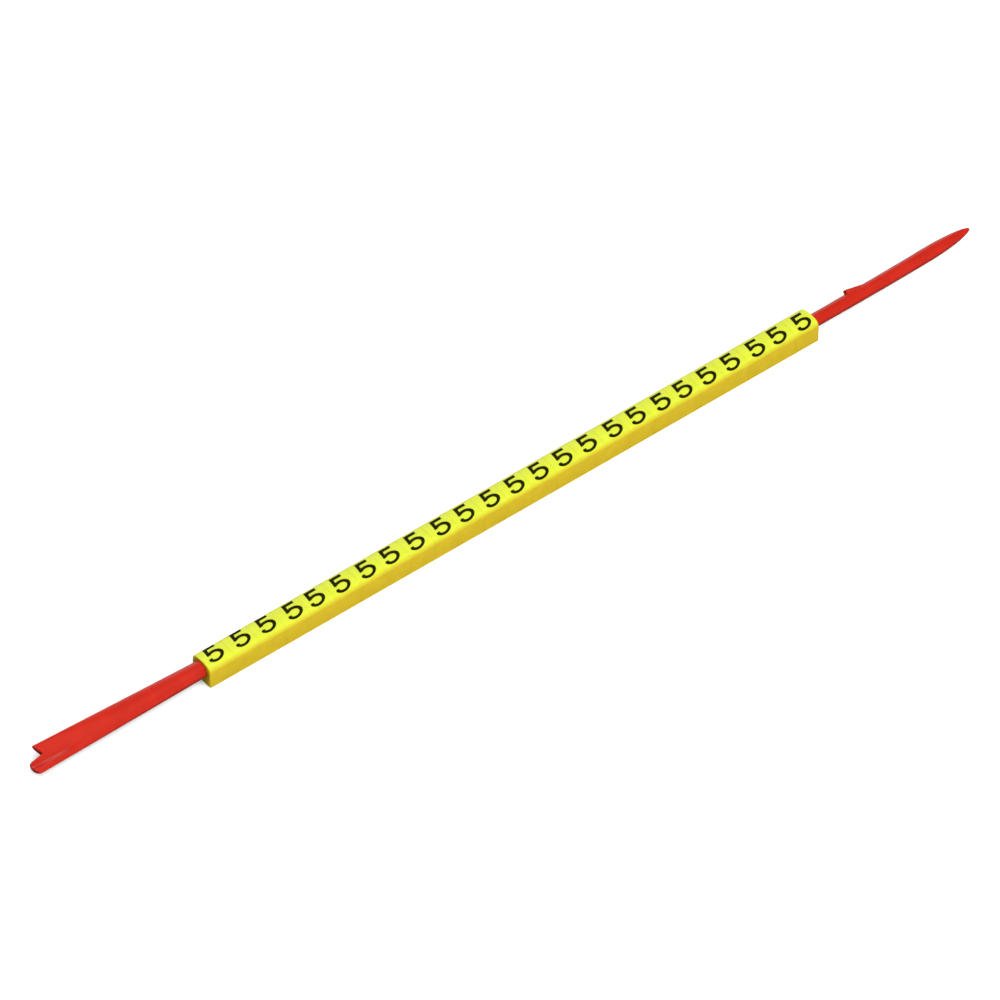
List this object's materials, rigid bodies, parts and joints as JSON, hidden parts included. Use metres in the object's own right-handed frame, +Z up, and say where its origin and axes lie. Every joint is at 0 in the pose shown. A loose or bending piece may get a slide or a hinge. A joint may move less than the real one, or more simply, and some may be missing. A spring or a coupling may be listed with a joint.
{
  "type": "cable marker strip",
  "caption": "Strip of clip-on cable markers with a printed number, threaded on a pointed carrier stick with a grooved, notched tail and a barb.",
  "frame": {"origin": "middle of the strip's length and width, on the plane of the markers' feet", "axes": "+X along the stick towards its point, +Z up from the feet to the numbered crowns, +Y to the side of the barb"},
  "size_m": [0.1155, 0.0028, 0.0027],
  "materials": {
    "marker_yellow": "soft satin yellow moulded plastic, printed in black",
    "carrier_red": "smooth glossy red moulded plastic"
  },
  "bodies": {
    "root": {"carrier": "carrier_red", "marker_01": "marker_yellow", "marker_02": "marker_yellow", "marker_03": "marker_yellow", "marker_04": "marker_yellow", "marker_05": "marker_yellow", "marker_06": "marker_yellow", "marker_07": "marker_yellow", "marker_08": "marker_yellow", "marker_09": "marker_yellow", "marker_10": "marker_yellow", "marker_11": "marker_yellow", "marker_12": "marker_yellow", "marker_13": "marker_yellow", "marker_14": "marker_yellow", "marker_15": "marker_yellow", "marker_16": "marker_yellow", "marker_17": "marker_yellow", "marker_18": "marker_yellow", "marker_19": "marker_yellow", "marker_20": "marker_yellow", "marker_21": "marker_yellow", "marker_22": "marker_yellow", "marker_23": "marker_yellow", "marker_24": "marker_yellow", "marker_25": "marker_yellow"}
  },
  "joints": []
}
